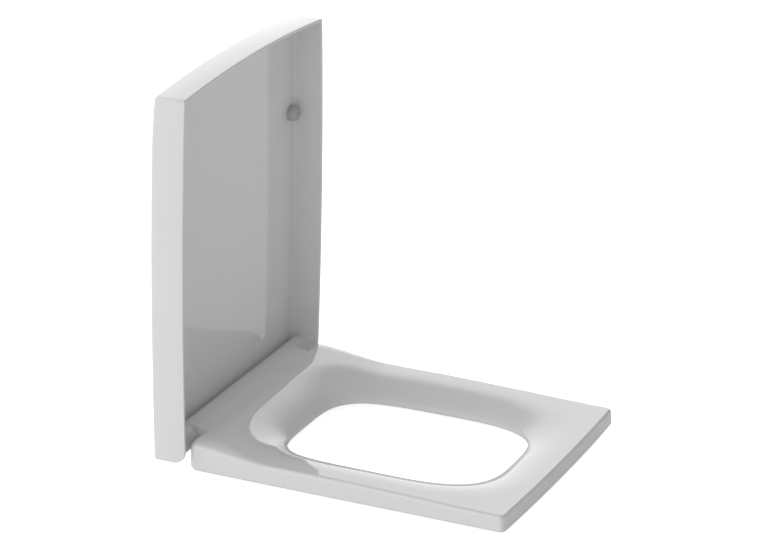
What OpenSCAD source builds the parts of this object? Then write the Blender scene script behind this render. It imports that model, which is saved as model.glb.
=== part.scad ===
// Square-form toilet seat: a moulded seat ring, a wrap-over lid and two
// hinge posts that bolt to the bowl. Millimetres, +Z up, front towards -Y.
// The origin is midway between the two fixing holes, on the bowl's top plane.

/* [Lid] */
// Outside width of the lid at its hinge end
lid_w = 376; // [340:1:450]
// Hinge axis to the corners of the lid's front edge
lid_len = 440; // [410:1:530]
// Height of the lid from its rim to its outer face
lid_depth = 42.5; // [40:0.5:50]
// Distance from the hinge axis to the plane of the lid's rim
rim_drop = 21; // [18:0.5:23]
// How far the lid reaches past the hinge axis
lid_tail = 16.6; // [14:0.2:20]
// Thickness of the lid's side and front walls
skirt_wall = 4; // [3:0.1:5]
// Thickness of the lid's flat panel
panel_wall = 5.1; // [3:0.1:6]
// How far the front edge bows out between its corners
front_bow = 8.5; // [4:0.5:12]
// How far each side bows out between its ends
side_bow = 6; // [0:0.5:7]
// How far the outer face drops away at the front edge
crown_drop = 3; // [0:0.2:4]
// Length of the stretch over which the outer face drops away
crown_len = 75; // [40:1:120]

/* [Seat ring] */
// Gap between the ring and the lid's side walls
side_gap = 4; // [1.5:0.1:6]
// Gap between the ring's front corners and the lid's front wall
front_gap = 6; // [4:0.5:12]
// Height of the ring at its front edge
front_h = 21.5; // [18:0.5:26]
// Height of the ring half way along
mid_h = 25.5; // [22:0.5:30]
// Height of the ring at its rear corners
rear_h = 38.5; // [34:0.5:40]
// Height of the hinge axis above the ring's underside
axis_over_ring = 26; // [23:0.5:31]
// How far the ring's front edge bows out
ring_bow = 3.3; // [0:0.1:5]
// Width of each side rail at the underside
rail_w = 72; // [60:1:86]
// Width of the front rail at the underside
front_rail = 63; // [50:1:75]
// Hinge axis to the rear edge of the opening
rear_rail = 93; // [80:1:110]
// Gap between the barrels and the rear face of the side rails
rail_gap = 6.5; // [4:0.5:14]
// Radius of the rails' rear corners, seen from the side
rail_end_r = 9; // [6:0.5:13]
// Radius of the ring's front corners, seen from above
ring_corner_r = 8; // [3:0.5:16]
// Depth of the channel in the ring's underside
channel_depth = 3; // [1:0.5:3.5]
// Width of the solid border around the channel
channel_border = 13; // [8:0.5:18]

/* [Hinge] */
// Distance between the two fixing holes
fixing_spacing = 155; // [140:1:186]
// Diameter of the fixing holes
fixing_d = 8; // [6:0.5:9]
// Depth of the threaded socket in each post
socket_depth = 12; // [8:0.5:16]
// Fixing holes to the hinge axis, front to back
hinge_back = 36; // [34:0.5:40]
// Width of the hinge posts
post_w = 16; // [12:0.5:20]
// Radius of each post's knuckle
knuckle_r = 11; // [9:0.2:11.2]
// Gap between a post and its slot in the ring
post_gap = 1.5; // [1:0.1:2.5]
// Diameter of the hinge pins
pin_d = 8; // [6:0.2:9]
// Wall of the bush between pin and post
bush_wall = 2; // [1:0.1:2.2]
// Length of pin held in the ring on each side of a post
pin_grip = 13; // [8:0.5:18]
// Running clearance of the pins and shafts, on the radius
run_gap = 0.05; // [0.02:0.01:0.1]

/* [Barrels] */
// Length of each barrel between the ring's body and the lid's boss
barrel_len = 36.5; // [33:0.5:42]
// Gap between a barrel and the lid's panel
barrel_gap = 0.9; // [0.6:0.1:1.5]
// Gap between a barrel's end and the lid's boss
end_gap = 0.5; // [0.3:0.1:1]
// Length of the lid's bosses
boss_len = 6; // [4:0.5:8]
// Wall of the barrel around the damper
barrel_wall = 4; // [3:0.1:5]
// Length of the dampers
damper_len = 30; // [24:0.5:31]
// Diameter of the damper shafts
shaft_d = 10; // [8:0.2:11]
// Width across the flats of the damper shafts
shaft_flats = 7.2; // [6:0.1:7.6]
// Depth of the spigot that holds each barrel in the ring
spigot_len = 10; // [8:0.5:14]

/* [Feet and stops] */
// Height of the ring's underside above the bowl
ring_lift = 8; // [7:0.5:12]
// Diameter of the ring's buffers
buffer_d = 20; // [14:0.5:24]
// Distance from the ring's sides to the buffers' centres
buffer_inset = 30; // [26:0.5:36]
// Distance from the ring's front corners to the front buffers
buffer_front = 36; // [30:0.5:44]
// Hinge axis to the rear buffers
buffer_rear = 100; // [84:1:140]
// Diameter of the lid's bumpers
bumper_d = 20; // [14:0.5:22]
// Height of the lid's bumpers
bumper_h = 9.4; // [7:0.1:9.6]
// Hinge axis to the lid's bumpers
bumper_dist = 315; // [250:1:340]
// Gap between a bumper and the lid's side wall
bumper_gap = 4; // [0.5:0.1:8]
// Diameter of the discs under the hinge posts
rosette_d = 40; // [32:0.5:42]
// Thickness of those discs
rosette_h = 5; // [3:0.1:5.4]
// Thickness of the gasket under each disc
gasket_h = 1.5; // [1:0.1:2]

/* [Hidden] */

$fn = 64;
left = -1;
right = 1;
front = 1;
rear = -1;

// Heights are measured from the bowl's plane; the modules under on_axis()
// are drawn about the hinge axis instead.
axis_h = ring_lift + axis_over_ring;
ring_floor = -axis_over_ring;
bowl_plane = -axis_h;

panel_inner = lid_depth - rim_drop - panel_wall;
lid_outer = lid_depth - rim_drop;
skirt_inner = lid_w / 2 - skirt_wall;
boss_face = skirt_inner - boss_len;
barrel_r = panel_inner - barrel_gap;
barrel_end = boss_face - end_gap;
rail_setback = barrel_r + rail_gap;
body_half = barrel_end - barrel_len;

ring_half = skirt_inner - side_gap;
ring_len = lid_len - skirt_wall - front_gap;
ring_front = ring_len + ring_bow;
hole_half = ring_half - rail_w;
hole_len = ring_front - front_rail - rear_rail;
hole_mid = -(rear_rail + hole_len / 2);

post_x = fixing_spacing / 2;
post_depth = 26;
post_front = -hinge_back - post_depth / 2;
post_rear = -hinge_back + post_depth / 2;
foot_h = 6;
arm_drop = 13;
arm_over = 2.5;
slot_half = post_w / 2 + post_gap;
slot_r = knuckle_r + post_gap;
pin_r = pin_d / 2;
bush_r = pin_r + run_gap + bush_wall;
spigot_step = 3.4;
spigot_r = barrel_r - spigot_step;
fit = 0.05;
shaft_r = shaft_d / 2;
insert_wall = 3.5;
insert_r = shaft_r + insert_wall;
insert_depth = 2.5;
damper_r = barrel_r - barrel_wall;
damper_recess = 3.5;
damper_end = barrel_end - damper_recess;
screw_r = 1.5;
screw_head_r = 2 * screw_r;
screw_head_h = 1.6;
screw_sink = 0.4;
screw_len = 9;
screw_x = body_half - spigot_len / 2;

// Rises from 0 to 1 as t does, level at both ends.
function ease(t) = let (u = min(1, max(0, t))) u * u * (3 - 2 * u);

// Top of the ring above its underside, at distance d in front of the axis.
swell_start = 30;
swell_end = 130;
fall_start = 200;
function ring_top(d) =
    front_h
    + (mid_h - front_h) * ease((ring_front - d) / (ring_front - fall_start))
    + (rear_h - mid_h) * ease((swell_end - d) / (swell_end - swell_start));

// Points on an arc about [cy, cz], as [y, z].
function arc(cy, cz, r, from, to, steps = 10) =
    [for (i = [0:steps]) let (a = from + (to - from) * i / steps)
        [cy + r * cos(a), cz + r * sin(a)]];

module on_axis() {
    translate([0, hinge_back, axis_h]) children();
}

// Extrudes a [y, z] outline along X between two places.
module along_x(from, to) {
    translate([from, 0, 0]) rotate([90, 0, 90]) linear_extrude(to - from) children();
}

// Extrudes an [x, z] outline along Y between two places.
module along_y(from, to) {
    translate([0, to, 0]) rotate([90, 0, 0]) linear_extrude(to - from) children();
}

// A round bar along X, from one distance out to another, on one side.
module bar(side, from, to, r) {
    translate([side * from, 0, 0]) rotate([0, side * 90, 0]) cylinder(h = to - from, r = r);
}

// ---- lid ----

// Outline of the lid seen square on, drawn in by an inset.
side_steps = 16;
front_steps = 24;
function lid_side(z) =
    let (u = (2 * z - lid_len + lid_tail) / (lid_len + lid_tail))
    lid_w / 2 + side_bow * (1 - u * u);
function lid_outline(inset) =
    let (
        low = -lid_tail,
        high = lid_len - inset,
        half = lid_w / 2 - inset
    )
    concat(
        [for (i = [0:side_steps]) let (z = low + (high - low) * i / side_steps)
            [lid_side(z) - inset, z]],
        [for (i = [1:front_steps - 1]) let (u = 1 - 2 * i / front_steps)
            [half * u, high + front_bow * (1 - u * u)]],
        [for (i = [side_steps:-1:0]) let (z = low + (high - low) * i / side_steps)
            [inset - lid_side(z), z]]
    );

// Section of the lid seen from the side, with its rounded tail corner.
function lid_back(z) =
    let (u = max(0, (z - lid_len + crown_len) / crown_len))
    lid_outer - crown_drop * u * u;
crown_steps = 8;
lid_top = lid_len + front_bow + 1;
module lid_section() {
    tail_r = lid_tail;
    polygon(concat(
        arc(tail_r - rim_drop, 0, tail_r, 180, 270),
        [[lid_outer, -lid_tail]],
        [for (i = [0:crown_steps])
            let (z = lid_len - crown_len + (lid_top - lid_len + crown_len) * i / crown_steps)
            [lid_back(z), z]],
        [[-rim_drop, lid_top]]
    ));
}

module lid_boss(side) {
    intersection() {
        bar(side, boss_face, skirt_inner + side_bow + 1, barrel_r);
        translate([-lid_w, -lid_w, -lid_w]) cube([2 * lid_w, lid_w + panel_inner, 2 * lid_w]);
    }
}

module lid_shell() {
    color([0.92, 0.92, 0.91])
    on_axis() difference() {
        intersection() {
            along_y(-rim_drop, lid_outer) polygon(lid_outline(0));
            along_x(-lid_w, lid_w) lid_section();
        }
        difference() {
            along_y(-rim_drop - 1, panel_inner) union() {
                polygon(lid_outline(skirt_wall));
                translate([-skirt_inner, -2 * lid_tail]) square([2 * skirt_inner, 2 * lid_tail]);
            }
            for (side = [left, right]) lid_boss(side);
        }
        for (side = [left, right])
            bar(side, boss_face - 1, skirt_inner + insert_depth, insert_r + fit);
    }
}

pad_chamfer = 1.5;
module lid_bumper(side) {
    x = lid_side(bumper_dist) - skirt_wall - bumper_gap - bumper_d / 2;
    rim_r = bumper_d / 2;
    color([0.62, 0.65, 0.63])
    on_axis() translate([side * x, panel_inner, bumper_dist]) rotate([90, 0, 0])
        rotate_extrude() polygon([
            [0, 0], [rim_r, 0], [rim_r, bumper_h - pad_chamfer],
            [rim_r - pad_chamfer, bumper_h], [0, bumper_h]
        ]);
}

// ---- seat ring ----

// Plan of the ring's rails: straight sides, a bowed front, rounded corners.
module ring_plan(inset) {
    r = max(1, ring_corner_r - inset / 2);
    half = ring_half - inset;
    len = ring_len - inset;
    corner = [half - r, len - r];
    polygon(concat(
        [[-half, -rail_setback + 1], [-half, -corner[1]]],
        arc(-corner[0], -corner[1], r, 180, 270, 6),
        [for (i = [1:front_steps - 1]) let (u = 2 * i / front_steps - 1)
            [corner[0] * u, -len - ring_bow * (1 - u * u)]],
        arc(corner[0], -corner[1], r, 270, 360, 6),
        [[half, -rail_setback + 1]]
    ));
}

// Side section of the rails, from the rounded rear end to the front edge.
top_steps = 44;
module rail_section() {
    end_top = ring_floor + ring_top(rail_setback + rail_end_r) - rail_end_r;
    end_y = -rail_setback - rail_end_r;
    span = ring_front + 5 - rail_setback - rail_end_r;
    polygon(concat(
        arc(end_y, ring_floor + rail_end_r, rail_end_r, 270, 360),
        arc(end_y, end_top, rail_end_r, 0, 90),
        [for (i = [1:top_steps]) let (d = rail_setback + rail_end_r + span * i / top_steps)
            [-d, ring_floor + ring_top(d)]],
        [[-ring_front - 5, ring_floor]]
    ));
}

// Side section of the hinge body, which rolls over the axis at its back.
nose_steps = 8;
body_front = 8 - rear_rail;
module body_section() {
    reach = rail_setback + rail_end_r;
    join = ring_floor + ring_top(reach);
    circle(r = barrel_r);
    polygon(concat(
        [[0, -barrel_r], [0, barrel_r]],
        [for (i = [1:nose_steps]) let (t = i / nose_steps)
            [-reach * t, barrel_r + (join - barrel_r) * ease(t)]],
        [for (i = [1:nose_steps]) let (d = reach + (-body_front - reach) * i / nose_steps)
            [-d, ring_floor + ring_top(d)]],
        [[body_front, ring_floor], [-rail_setback, ring_floor]]
    ));
}

// The opening: loops that widen from the underside's edge to the dished top.
// The dish is steep above the lip and eases out into the ring's top, which
// it passes by dish_over at its outer edge.
lip_h = 8;
dish_w = min(rail_w - 12, front_rail - 9, rear_rail - rail_setback - rail_end_r);
dish_over = 1;
DISH = [0, 0.03, 0.08, 0.15, 0.25, 0.38, 0.55, 0.76, 1];
function dish_height(d, t) =
    lip_h + (ring_top(d) + dish_over - lip_h) * (1 - pow(1 - pow(t, 0.8), 1.95));
loop_steps = 64;
rear_power = 4;
front_power = 3.3;
function power_of(v, p) = sign(v) * pow(abs(v), 2 / p);
function opening_point(grow, a) =
    let (p = sin(a) > 0 ? rear_power : front_power)
    [
        (hole_half + grow) * power_of(cos(a), p),
        hole_mid + (hole_len / 2 + grow) * power_of(sin(a), p)
    ];
function opening_loop(t) =
    [for (i = [0:loop_steps - 1]) let (p = opening_point(t * dish_w, 360 * i / loop_steps))
        [p[0], p[1], ring_floor + dish_height(-p[1], t)]];
function opening_foot() =
    [for (i = [0:loop_steps - 1]) let (p = opening_point(0, 360 * i / loop_steps))
        [p[0], p[1], ring_floor - 2]];
module opening() {
    n = loop_steps;
    last = len(DISH);
    points = concat(opening_foot(), [for (t = DISH) each opening_loop(t)]);
    sides = [for (k = [0:last - 1], i = [0:n - 1]) let (j = (i + 1) % n)
        each [[k * n + i, (k + 1) * n + i, k * n + j],
              [k * n + j, (k + 1) * n + i, (k + 1) * n + j]]];
    caps = [[for (i = [0:n - 1]) i], [for (i = [n - 1:-1:0]) last * n + i]];
    polyhedron(points, concat(sides, caps));
}

// The channel in the underside, between the ring's border and the opening's.
channel_rear = post_depth / 2 + hinge_back + channel_border;
module channel() {
    translate([0, 0, ring_floor - 1]) linear_extrude(channel_depth + 1) difference() {
        intersection() {
            ring_plan(channel_border);
            translate([-lid_w, -2 * lid_len - channel_rear]) square([2 * lid_w, 2 * lid_len]);
        }
        polygon([for (i = [0:loop_steps - 1])
            opening_point(channel_border, 360 * i / loop_steps)]);
    }
}

// Upper edge of a post's arm, from the knuckle to the front, as [y, z].
arm_top = [[-9, knuckle_r - 4], [-31, -5], [post_front, -11]];

// Side section of the slot that a post swings in.
slot_front = post_front - 2;
module slot_section() {
    low = ring_floor - 5;
    behind = barrel_r + 5;
    circle(r = slot_r);
    polygon(concat(
        [[slot_front, low], [slot_front, arm_top[2][1] + arm_over]],
        [for (i = [1, 0]) arm_top[i] + [0, arm_over]],
        [[0, 0], [behind, 0], [behind, low]]
    ));
}

function buffer_x() = ring_half - buffer_inset;
function buffer_y(end) = end == front ? buffer_front - ring_len : -buffer_rear;
stem_r = 4;
stem_len = 6;

module seat_ring() {
    color([0.87, 0.87, 0.88])
    on_axis() difference() {
        union() {
            intersection() {
                translate([0, 0, ring_floor]) linear_extrude(2 * rear_h) ring_plan(0);
                along_x(-ring_half - 1, ring_half + 1) rail_section();
            }
            along_x(-body_half, body_half) body_section();
        }
        opening();
        channel();
        for (side = [left, right]) {
            x = side * post_x;
            along_x(x - slot_half, x + slot_half) slot_section();
            bar(side, post_x - slot_half - pin_grip, body_half, pin_r + fit);
            bar(side, body_half - spigot_len, body_half + 1, spigot_r + fit);
            translate([side * screw_x, 0, -barrel_r - 1]) {
                cylinder(h = barrel_r, r = screw_r + 0.3);
                cylinder(h = 1 + screw_sink + screw_head_h, r = screw_head_r + 0.4);
            }
            for (end = [front, rear])
                translate([side * buffer_x(), buffer_y(end), ring_floor])
                    cylinder(h = channel_depth + stem_len + 1, r = stem_r + fit);
        }
    }
}

module seat_buffer(side, end) {
    r = buffer_d / 2;
    h = ring_lift + channel_depth;
    color([0.75, 0.76, 0.76])
    on_axis() translate([side * buffer_x(), buffer_y(end), bowl_plane]) rotate_extrude() polygon([
        [0, 0], [r - pad_chamfer, 0], [r, pad_chamfer], [r, h], [stem_r, h],
        [stem_r, h + stem_len], [0, h + stem_len]
    ]);
}

// ---- hinge posts, on the bowl ----

module post_section() {
    top = bowl_plane + gasket_h + rosette_h;
    circle(r = knuckle_r);
    polygon(concat([[0, knuckle_r]], arm_top, [
        [post_front, top], [post_rear, top], [post_rear, top + foot_h],
        [post_rear / 2 - 1.5, -arm_drop], [0, -knuckle_r]
    ]));
}

module hinge_post(side) {
    x = side * post_x;
    color([0.75, 0.76, 0.78])
    on_axis() difference() {
        along_x(x - post_w / 2, x + post_w / 2) post_section();
        bar(side, post_x - post_w, post_x + post_w, bush_r + fit);
        translate([x, -hinge_back, bowl_plane])
            cylinder(h = gasket_h + rosette_h + socket_depth, r = fixing_d / 2);
    }
}

module washer(side, low, high, r) {
    translate([side * post_x, 0, low]) difference() {
        cylinder(h = high - low, r = r);
        translate([0, 0, -1]) cylinder(h = high - low + 2, r = fixing_d / 2);
    }
}

module post_rosette(side) {
    color([0.80, 0.81, 0.83]) washer(side, gasket_h, gasket_h + rosette_h, rosette_d / 2);
}

module post_gasket(side) {
    color([0.30, 0.31, 0.32]) washer(side, 0, gasket_h, rosette_d / 2 - 1);
}

bush_proud = 0.6;
module post_bush(side) {
    reach = post_w / 2 + bush_proud;
    color([0.85, 0.84, 0.80])
    on_axis() difference() {
        bar(side, post_x - reach, post_x + reach, bush_r);
        bar(side, post_x - post_w, post_x + post_w, pin_r + run_gap);
    }
}

module hinge_pin(side) {
    color([0.70, 0.71, 0.73])
    on_axis() bar(side, post_x - slot_half - pin_grip, post_x + slot_half + pin_grip, pin_r);
}

// ---- barrels between ring and lid ----

module hinge_barrel(side) {
    color([0.88, 0.88, 0.88])
    on_axis() difference() {
        union() {
            bar(side, body_half, barrel_end, barrel_r);
            bar(side, body_half - spigot_len, body_half, spigot_r);
        }
        bar(side, damper_end - damper_len, barrel_end + 1, damper_r + fit);
        translate([side * screw_x, 0, -spigot_r - 1]) cylinder(h = screw_len - 1, r = screw_r + fit);
    }
}

module lid_damper(side) {
    color([0.20, 0.20, 0.22])
    on_axis() difference() {
        bar(side, damper_end - damper_len, damper_end, damper_r);
        bar(side, damper_end - damper_len / 2, damper_end + 1, shaft_r + run_gap);
    }
}

// A bar with two flats: the end of a shaft, or the hole that fits it.
module flatted_bar(side, from, to, gap) {
    r = shaft_r + gap;
    half = shaft_flats / 2 + gap;
    intersection() {
        bar(side, from, to, r);
        translate([side * (from + to) / 2, 0, 0])
            cube([2 * (to - from), 2 * half, 4 * r], center = true);
    }
}

module damper_shaft(side) {
    shoulder = barrel_end - 1;
    color([0.72, 0.72, 0.74])
    on_axis() {
        bar(side, damper_end - damper_len / 2 + 0.5, shoulder, shaft_r);
        flatted_bar(side, shoulder, skirt_inner + insert_depth - 0.5, 0);
    }
}

module lid_bush(side) {
    color([0.80, 0.80, 0.80])
    on_axis() difference() {
        bar(side, boss_face, skirt_inner + insert_depth, insert_r);
        flatted_bar(side, boss_face - 1, skirt_inner + insert_depth - 0.5, fit);
    }
}

module barrel_screws() {
    head_low = -barrel_r + screw_sink;
    color([0.60, 0.61, 0.63])
    on_axis() for (side = [left, right]) translate([side * screw_x, 0, head_low]) {
        cylinder(h = screw_head_h, r = screw_head_r);
        cylinder(h = screw_len, r = screw_r);
    }
}

seat_ring();
lid_shell();
lid_bumper(left);  // lid_bumper_left
lid_bumper(right);  // lid_bumper_right
seat_buffer(left, front);  // seat_buffer_front_left
seat_buffer(right, front);  // seat_buffer_front_right
seat_buffer(left, rear);  // seat_buffer_rear_left
seat_buffer(right, rear);  // seat_buffer_rear_right
hinge_post(left);  // hinge_post_left
hinge_post(right);  // hinge_post_right
post_rosette(left);  // post_rosette_left
post_rosette(right);  // post_rosette_right
post_gasket(left);  // post_gasket_left
post_gasket(right);  // post_gasket_right
post_bush(left);  // post_bush_left
post_bush(right);  // post_bush_right
hinge_pin(left);  // hinge_pin_left
hinge_pin(right);  // hinge_pin_right
hinge_barrel(left);  // hinge_barrel_left
hinge_barrel(right);  // hinge_barrel_right
lid_damper(left);  // lid_damper_left
lid_damper(right);  // lid_damper_right
damper_shaft(left);  // damper_shaft_left
damper_shaft(right);  // damper_shaft_right
lid_bush(left);  // lid_bush_left
lid_bush(right);  // lid_bush_right
barrel_screws();
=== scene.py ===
"""Looks of a square-form toilet seat: the dished ring, the wrap-over lid and the hinge.

Lengths are in metres. Section outlines are drawn about the hinge axis: y runs to the back of
the seat and z up, as on the bowl, with both zero on the axis.
"""

import logging
import math
from dataclasses import dataclass, field
from enum import Enum
from typing import Iterable, Sequence

import bmesh
import bpy
import numpy as np
from mathutils import Matrix, Vector


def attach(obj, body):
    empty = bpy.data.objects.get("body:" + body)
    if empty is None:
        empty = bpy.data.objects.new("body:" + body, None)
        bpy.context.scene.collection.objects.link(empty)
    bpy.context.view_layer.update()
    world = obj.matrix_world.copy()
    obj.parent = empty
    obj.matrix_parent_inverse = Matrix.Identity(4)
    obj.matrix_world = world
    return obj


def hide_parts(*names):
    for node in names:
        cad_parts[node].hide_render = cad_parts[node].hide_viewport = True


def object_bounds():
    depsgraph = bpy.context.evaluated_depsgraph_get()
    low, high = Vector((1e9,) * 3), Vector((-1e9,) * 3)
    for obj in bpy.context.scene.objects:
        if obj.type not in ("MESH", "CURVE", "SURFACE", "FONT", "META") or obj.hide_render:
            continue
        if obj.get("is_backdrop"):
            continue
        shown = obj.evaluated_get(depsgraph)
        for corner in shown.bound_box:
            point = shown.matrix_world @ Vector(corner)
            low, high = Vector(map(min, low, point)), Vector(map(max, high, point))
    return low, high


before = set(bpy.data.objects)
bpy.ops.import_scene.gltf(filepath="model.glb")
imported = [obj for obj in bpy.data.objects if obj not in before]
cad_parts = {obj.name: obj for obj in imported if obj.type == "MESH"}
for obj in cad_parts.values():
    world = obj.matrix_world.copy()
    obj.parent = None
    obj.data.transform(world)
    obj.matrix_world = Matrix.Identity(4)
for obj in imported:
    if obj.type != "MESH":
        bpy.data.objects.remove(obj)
log = logging.getLogger("toilet_seat")
MM = 0.001
TINY = 1e-6
SHELL_ANGLE = 32.0
SMALL_ANGLE = 35.0
TUBE_ANGLE = 60.0


# ---------------------------------------------------------------------------
# Sides and node trees
# ---------------------------------------------------------------------------

class Side(Enum):
    """Left and right of the seat, seen from the front; the value is the sign of x."""

    LEFT = -1
    RIGHT = 1

    @property
    def word(self) -> str:
        """The side's name as the nodes are called."""
        return self.name.lower()


class Value:
    """A number in a node tree that adds, multiplies and compares like one in code."""

    def __init__(self, graph: "Graph", socket: bpy.types.NodeSocket) -> None:
        """Keeps the tree that the number is in and the socket that gives it."""
        self.graph = graph
        self.socket = socket

    def __add__(self, other: "Value | float") -> "Value":
        """This plus the other."""
        return self.graph.math("ADD", self, other)

    def __sub__(self, other: "Value | float") -> "Value":
        """This less the other."""
        return self.graph.math("SUBTRACT", self, other)

    def __rsub__(self, other: float) -> "Value":
        """The other less this."""
        return self.graph.math("SUBTRACT", other, self)

    def __mul__(self, other: "Value | float") -> "Value":
        """This times the other."""
        return self.graph.math("MULTIPLY", self, other)

    def __truediv__(self, other: "Value | float") -> "Value":
        """This over the other."""
        return self.graph.math("DIVIDE", self, other)

    def squared(self) -> "Value":
        """This times itself."""
        return self.graph.math("MULTIPLY", self, self)

    def at_least(self, low: "Value | float") -> "Value":
        """This, or the low value where this is under it."""
        return self.graph.math("MAXIMUM", self, low)

    def clamped(self) -> "Value":
        """This, kept from 0 to 1."""
        return self.graph.math("MINIMUM", self.at_least(0.0), 1.0)


class Graph:
    """Short ways to add nodes to a shader or geometry tree."""

    def __init__(self, tree: bpy.types.NodeTree) -> None:
        """Works on the tree."""
        self.tree = tree

    def node(self, kind: str, inputs: dict | None = None, **settings: object) -> bpy.types.Node:
        """Adds a node.

        Args:
            kind: The node's type name.
            inputs: What goes into each input, by name or number: a Value, a socket or a constant.
            settings: Properties of the node itself.

        Returns:
            The new node.
        """
        made = self.tree.nodes.new(kind)
        for name, value in settings.items():
            setattr(made, name, value)
        for key, value in (inputs or {}).items():
            self.feed(made.inputs[key], value)
        return made

    def feed(self, socket: bpy.types.NodeSocket, value: object) -> None:
        """Links a Value or socket to an input, or sets the constant there."""
        if isinstance(value, Value):
            value = value.socket
        if isinstance(value, bpy.types.NodeSocket):
            self.tree.links.new(value, socket)
        else:
            socket.default_value = value

    def math(self, operation: str, a: "Value | float", b: "Value | float" = 0.0) -> Value:
        """The result of a math node on a and b."""
        made = self.node("ShaderNodeMath", {0: a, 1: b}, operation=operation)
        return Value(self, made.outputs[0])

    def split(self, vector: bpy.types.NodeSocket) -> tuple[Value, Value, Value]:
        """The three parts of a vector."""
        made = self.node("ShaderNodeSeparateXYZ", {0: vector})
        return tuple(Value(self, s) for s in made.outputs)

    def ramp(self, value: "Value | bpy.types.NodeSocket", stops: Sequence[tuple]) -> bpy.types.NodeSocket:
        """A colour ramp.

        Args:
            value: What the ramp reads.
            stops: Pairs of place and grey level, or place and colour.

        Returns:
            The ramp's colour socket.
        """
        made = self.node("ShaderNodeValToRGB", {0: value})
        elements = made.color_ramp.elements
        while len(elements) < len(stops):
            elements.new(0.5)
        for element, (place, shade) in zip(elements, stops):
            element.position = place
            grey = isinstance(shade, float)
            element.color = (shade, shade, shade, 1.0) if grey else (*shade, 1.0)
        return made.outputs["Color"]

    def noise(self, where: object, scale: float, detail: float = 2.0, roughness: float = 0.5) -> Value:
        """Soft noise of a size, as a number from 0 to 1."""
        made = self.node("ShaderNodeTexNoise", {
            "Vector": where, "Scale": scale, "Detail": detail, "Roughness": roughness})
        return Value(self, made.outputs["Fac"])

    def mix(self, share: object, a: object, b: object) -> bpy.types.NodeSocket:
        """Colour a turning into colour b as the share goes from 0 to 1."""
        made = self.node("ShaderNodeMix", data_type="RGBA")
        for socket, value in zip((made.inputs[0], made.inputs[6], made.inputs[7]), (share, a, b)):
            self.feed(socket, value)
        return made.outputs[2]


Inlet = tuple[str, str, object]


def new_group(name: str, kind: str, inlets: Iterable[Inlet], outlets: Iterable[tuple[str, str]]):
    """Starts a node group with named inputs and outputs.

    Args:
        name: The group's name.
        kind: ShaderNodeTree or GeometryNodeTree.
        inlets: Name, socket type and starting value of each input.
        outlets: Name and socket type of each output.

    Returns:
        The Graph on the new tree, its input node and its output node.
    """
    tree = bpy.data.node_groups.new(name, kind)
    for label, socket_type, start in inlets:
        socket = tree.interface.new_socket(label, in_out="INPUT", socket_type=socket_type)
        if start is not None:
            socket.default_value = start
    for label, socket_type in outlets:
        tree.interface.new_socket(label, in_out="OUTPUT", socket_type=socket_type)
    graph = Graph(tree)
    return graph, tree.nodes.new("NodeGroupInput"), tree.nodes.new("NodeGroupOutput")


# ---------------------------------------------------------------------------
# Effects that several finishes share
# ---------------------------------------------------------------------------

FLOAT = "NodeSocketFloat"
COLOUR = "NodeSocketColor"
VECTOR = "NodeSocketVector"
GEOMETRY = "NodeSocketGeometry"


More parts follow.
